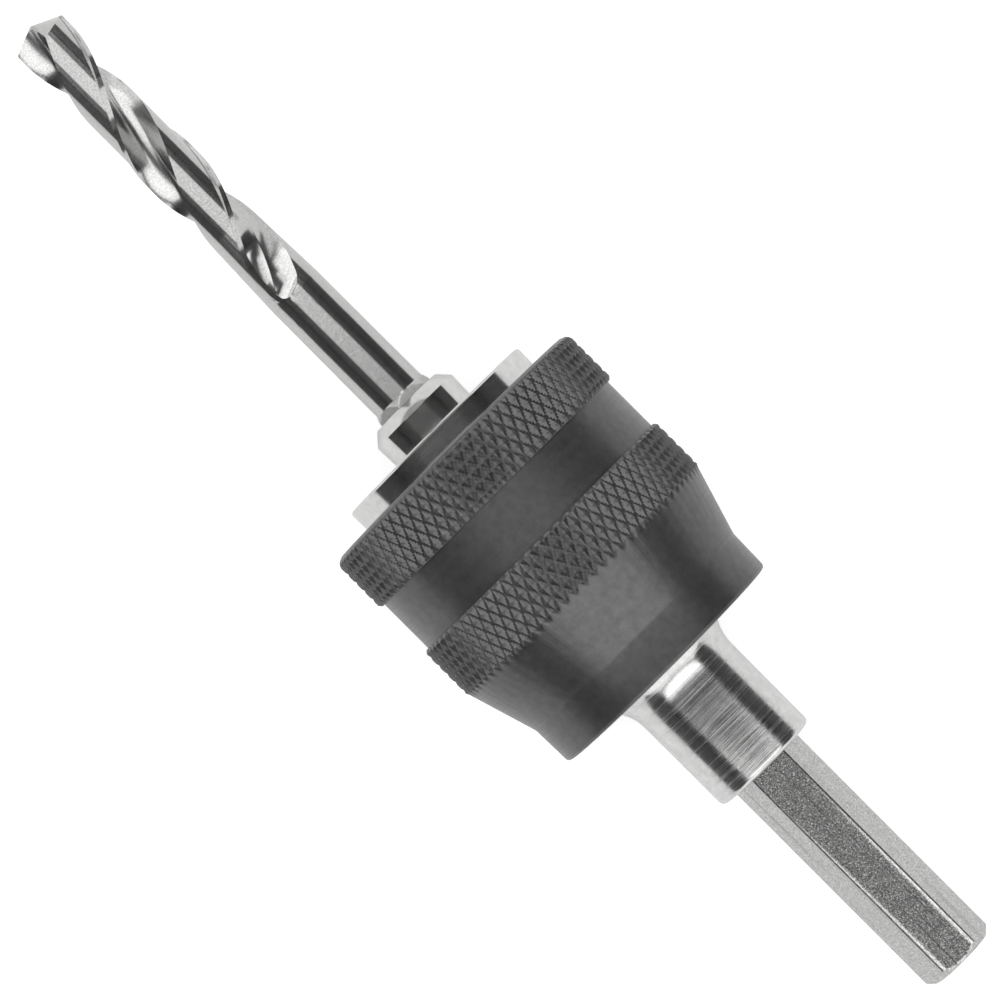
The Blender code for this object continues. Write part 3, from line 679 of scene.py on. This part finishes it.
def drill_outline(depth):
    """(radius, angle) points round the twisted body: a flute, a land and its margin, twice."""
    full_r = DRILL_D / 2
    fade = max(0, 1 - (FLUTE_LENGTH - depth) / RUN_OUT)
    end = max(0, fade - 1 + RUN_OUT_ROUND) / RUN_OUT_ROUND
    opened = sqrt(1 - 0.99 * end**2)
    land_r = LAND_D / 2 + (full_r - LAND_D / 2) * fade
    corner_r = flute_corner(depth)
    lead, heel = -side_angle(corner_r, full_r), side_angle(corner_r, land_r)
    lead += (RUN_OUT_LEAD - lead) * min(1, max(0, fade - 0.25) / 0.65) ** 1.7
    heel += (RUN_OUT_HEEL - heel) * min(1, 2 * fade)
    corner_angle = RUN_OUT_LEAD * min(1, 4 * fade)
    ledge, surface = RUN_OUT_FLOOR + FIRST_SLOPE, RUN_OUT_FLOOR + BOTH_SLOPES
    corner_r += (FIRST_RISE * full_r - corner_r) * eased(depth, RUN_OUT_FLOOR, ledge)
    corner_r += (full_r - FLUTE_EDGE - corner_r) * eased(depth, ledge, surface)
    drawn_in = (RUN_OUT_MIDDLE + (a - RUN_OUT_MIDDLE) * opened for a in (lead, heel, corner_angle))
    lead, heel, corner_angle = drawn_in

    corner = polar(corner_r, corner_angle)
    front, back = polar(full_r, lead), polar(land_r, heel)
    rounding = FLUTE_ROUND * (1 - eased(depth, RUN_OUT_FLOOR + 0.002, ledge)) + FLUTE_SHARP
    sag = FLUTE_SAG * eased(depth, RUN_OUT_FLOOR, RUN_OUT_FLOOR + 0.006)
    sag *= 1 - eased(depth, RUN_OUT_FLOOR + 0.005, FLUTE_LENGTH - 0.0004)
    start = corner.lerp(front, min(0.5, rounding / (0.000001 + (front - corner).length)))
    finish = corner.lerp(back, min(0.5, rounding / (0.000001 + (back - corner).length)))
    outline = [front.lerp(start, i / WALL_POINTS) for i in range(WALL_POINTS)]
    for i in range(CORNER_POINTS):
        t = i / (CORNER_POINTS - 1)
        outline.append(start.lerp(corner, t).lerp(corner.lerp(finish, t), t))
    for i in range(1, WALL_POINTS + 1):
        t = i / WALL_POINTS
        outline.append(finish.lerp(back, t) * (1 - 4 * sag * t * (1 - t)))
    margin = pi + lead - 2 * MARGIN / DRILL_D
    land = [heel + (margin - heel) * i / LAND_POINTS for i in range(1, LAND_POINTS + 1)]
    outline += [polar(land_r, angle) for angle in land]
    outline.append(polar(full_r, margin + MARGIN_STEP))

    low = RUN_OUT_MIDDLE - pi / 2
    turn = drill_turn(depth)
    angles = [low + (atan2(point.y, point.x) - low) % (2 * pi) + turn for point in outline]
    half = [(point.length, angle) for point, angle in zip(outline, angles)]
    return half + [(radius, angle + pi) for radius, angle in half]


def ground_depth(radius, angle):
    """The depth of the ground point. It falls away behind each lip, and then back to the web."""
    lip = drill_turn(0) - side_angle(flute_corner(0), DRILL_D / 2) - WEB / DRILL_D
    behind = (lip - angle) % pi
    relief = min(behind, LAND_ANGLE, (pi - behind) * LAND_ANGLE / (pi - LAND_ANGLE))
    return radius * (1 / tan(POINT_ANGLE / 2) + tan(RELIEF_ANGLE) * relief)


def drill_rings():
    """The drill's rings of points from its point to its tail, as (depth, radius, angle)."""
    full_r = DRILL_D / 2
    hex_r = DRILL_D / sqrt(3)
    length = TAIL_X - TIP_X
    count = len(drill_outline(0))
    rings = []

    # The point, from the chisel edge out to the brim where it meets the twisted body
    edge = [0.0] * count
    for _ in range(8):
        edge = [ground_depth(*drill_outline(edge[i])[i]) for i in range(count)]
    brim = [drill_outline(edge[i])[i] for i in range(count)]
    for i in range(1, POINT_RINGS + 1):
        scaled = [(r * i / POINT_RINGS, a) for r, a in brim]
        rings.append([(ground_depth(r, a), r, a) for r, a in scaled])

    # The twisted body and the flutes' run-out
    body_start = max(edge) + 0.0002
    for i in range(1, POINT_RINGS):
        depths = [depth + (body_start - depth) * i / POINT_RINGS for depth in edge]
        rings.append([(depths[j], *drill_outline(depths[j])[j]) for j in range(count)])
    body = FLUTE_LENGTH - RUN_OUT - body_start
    depths = [body_start + body * i / BODY_RINGS for i in range(BODY_RINGS)]
    for i in range(RUN_OUT_RINGS + 1):
        depths.append(FLUTE_LENGTH - RUN_OUT * (1 - i / RUN_OUT_RINGS) ** 2)
    rings += [[(depth, r, a) for r, a in drill_outline(depth)] for depth in depths]

    # The round part, where the points spread out evenly, and the hexagonal tail
    gathered = [angle for _, _, angle in rings[-1]]
    step = 2 * pi / count
    corner = NOSE_CLOCKING + pi / 6
    shift = round((sum(gathered) / count - (count - 1) / 2 * step - corner) / step)
    evenly = [corner + (shift + i) * step for i in range(count)]
    for i in range(1, TAIL_RINGS + 1):
        angles = [a + (b - a) * i / TAIL_RINGS for a, b in zip(gathered, evenly)]
        rings.append([(FLUTE_LENGTH + 0.0005 * i, full_r, a) for a in angles])
    rings.append([(HEX_FRONT - 0.00015, full_r, a) for a in evenly])
    rings.append([(HEX_FRONT, full_r, a) for a in evenly])
    tail = hexagon(DRILL_D, NOSE_CLOCKING)
    for i in range(1, CONE_RINGS + 1):
        depth = HEX_FRONT + HEX_CONE * i / CONE_RINGS
        limit = full_r + (hex_r - full_r) * i / CONE_RINGS
        rings.append([(depth, min(limit, tail(a)), a) for a in evenly])
    rings.append([(length - TAIL_CHAMFER, tail(a), a) for a in evenly])
    rings.append([(length, min(tail(a), hex_r - TAIL_CHAMFER), a) for a in evenly])
    return rings


drill_steel, tree, inputs = metal("drill_steel")
along = shader_node(tree, "ShaderNodeSeparateXYZ", {0: surface_place(tree)}).outputs["X"]
distance = placed_group(tree, axis_distance)["Distance"]
milled = mask(tree, along, TIP_X + HEX_FRONT - 0.0001, TIP_X + HEX_FRONT + 0.0003)
fluted = between(tree, distance, 1.0, 0.0, LAND_D / 2 - 0.0003, LAND_D / 2 - 0.0001)
ground = placed_group(tree, turning_lines, spacing=0.00009, break_up=40.0)
grain = placed_group(tree, steel_grain, size=0.00018)["Grain"]
grain_mask = mask(tree, grain, 0.35, 0.65)
tone = blended(tree, grain_mask, (0.42, 0.42, 0.42), (0.56, 0.56, 0.55))
tree.links.new(tone, inputs["Base Color"])
polish = between(tree, ground["Lines"], 0.1, 0.2)
gloss = mixed(tree, milled, mixed(tree, fluted, polish, 0.2), 0.42)
tree.links.new(gloss, inputs["Roughness"])
tree.links.new(raised(tree, ground["Lines"], 0.0000025), inputs["Normal"])
rings = [[on_axis(TIP_X + depth, r, a) for depth, r, a in ring] for ring in drill_rings()]
drill = placed("twist_drill", skin(rings), drill_steel)
shaded(drill, radians(14))
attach(drill, "spindle")
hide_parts("pilot_drill")

# Locking collar
# Turned steel with a black oxide finish. Two bands of diamond knurling are pressed into it for the
# grip, with a plain band between them, and its back is turned down to a smooth cone.
COLUMNS = 608
KNURLS = 76
KNURL_PITCH = 0.00273
KNURL_DEPTH = 0.0004
GROOVE_SHARES = (0.38, 0.34)
BAND_EDGE = 0.00035
PLAIN_R = 0.0184
BORE_R = 0.01405
collar_low, collar_high = map(Vector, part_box("locking_collar"))
COLLAR_X = collar_low.x
KNURL_R = (collar_high.z - collar_low.z) / 2
FRONT_BAND = (0.0, 0.00755)
REAR_BAND = (0.01475, 0.0228)
ROW = KNURL_PITCH / 8

# The turned outside before knurling, and the stepped bore from back to front. Both are rows of
# (distance behind the front face, radius).
turned_outline = [
    (0.0, 0.0170),
    (0.00006, 0.0180),
    (0.00025, 0.01845),
    (0.0004, 0.0187),
    (0.0006, 0.01885),
    (0.0008, KNURL_R),
    (0.00715, KNURL_R),
    (0.00755, KNURL_R - BAND_EDGE),
    (0.00758, PLAIN_R),
    (0.01472, PLAIN_R),
    (0.01475, KNURL_R - BAND_EDGE),
    (0.01515, KNURL_R),
    (0.02161, KNURL_R),
    (0.02161, KNURL_R - 0.0001),
    (0.03023, 0.01634),
    (0.03053, 0.01628),
    (0.0353, 0.01617),
    (0.0356, 0.01602),
    (0.0357, 0.01577),
]
bore_outline = [
    (0.0357, 0.0149),
    (0.01617, 0.0149),
    (0.01617, BORE_R),
    (0.01167, BORE_R),
    (0.00387, 0.01561),
    (0.00387, BORE_R),
    (0.00207, BORE_R),
    (0.00207, 0.0152),
    (0.0, 0.0152),
]


def turned_radius(depth):
    """The collar's radius before knurling."""
    for (a, low), (b, high) in zip(turned_outline, turned_outline[1:]):
        if a <= depth <= b and b > a:
            return low + (high - low) * (depth - a) / (b - a)
    return turned_outline[-1][1]


def knurl_height(around, depth):
    """0 at the bottom of a groove and 1 on the flat top of a diamond."""
    lift = 1.0
    for lean, share in zip((1, -1), GROOVE_SHARES):
        t = around + lean * depth / KNURL_PITCH
        lift = min(lift, abs(t - round(t)) / share)
    return min(1.0, lift)


def collar_rows():
    """Where the collar's rings of points stand, from its front face to its back."""
    rows = {depth for depth, _ in turned_outline}
    for start, end in (FRONT_BAND, REAR_BAND):
        count = int((end - start) / ROW)
        rows |= {start + ROW * i for i in range(count + 1)}
    ordered = sorted(rows)
    kept = [ordered[0]]
    for depth in ordered[1:]:
        if depth - kept[-1] > 0.00002:
            kept.append(depth)
    return kept


def collar_ring(depth, radii):
    """A ring of the collar's points, one at each radius."""
    turns = [2 * pi * column / COLUMNS for column in range(COLUMNS)]
    return [on_axis(COLLAR_X + depth, r, turn) for r, turn in zip(radii, turns)]


rings = []
for depth in collar_rows():
    radii = [turned_radius(depth)] * COLUMNS
    if any(start <= depth <= end for start, end in (FRONT_BAND, REAR_BAND)):
        lifts = [knurl_height(column * KNURLS / COLUMNS, depth) for column in range(COLUMNS)]
        radii = [min(r, KNURL_R - KNURL_DEPTH * (1 - lift)) for r, lift in zip(radii, lifts)]
    rings.append(collar_ring(depth, radii))
rings += [collar_ring(depth, [r] * COLUMNS) for depth, r in bore_outline]

black_oxide, tree, inputs = metal("black_oxide", 0.85)
turned = placed_group(tree, turning_lines, spacing=0.00012, break_up=60.0)
grain = placed_group(tree, steel_grain, size=0.00012)["Grain"]
distance = placed_group(tree, axis_distance)["Distance"]
crest = mask(tree, distance, KNURL_R - 0.0001, KNURL_R - 0.00001)
tone = blended(tree, mask(tree, turned["Cloud"]), (0.09, 0.09, 0.091), (0.12, 0.12, 0.12))
crest_tone = blended(tree, mask(tree, grain, 0.4, 0.6), (0.07, 0.07, 0.07), (0.17, 0.17, 0.17))
tree.links.new(blended(tree, crest, tone, crest_tone), inputs["Base Color"])
tree.links.new(between(tree, turned["Lines"], 0.3, 0.4), inputs["Roughness"])
tree.links.new(raised(tree, turned["Lines"], 0.000005), inputs["Normal"])
collar = placed("knurled_collar", skin(rings, looped=True), black_oxide)
shaded(collar, radians(24))
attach(collar, "collar")
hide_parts("locking_collar")
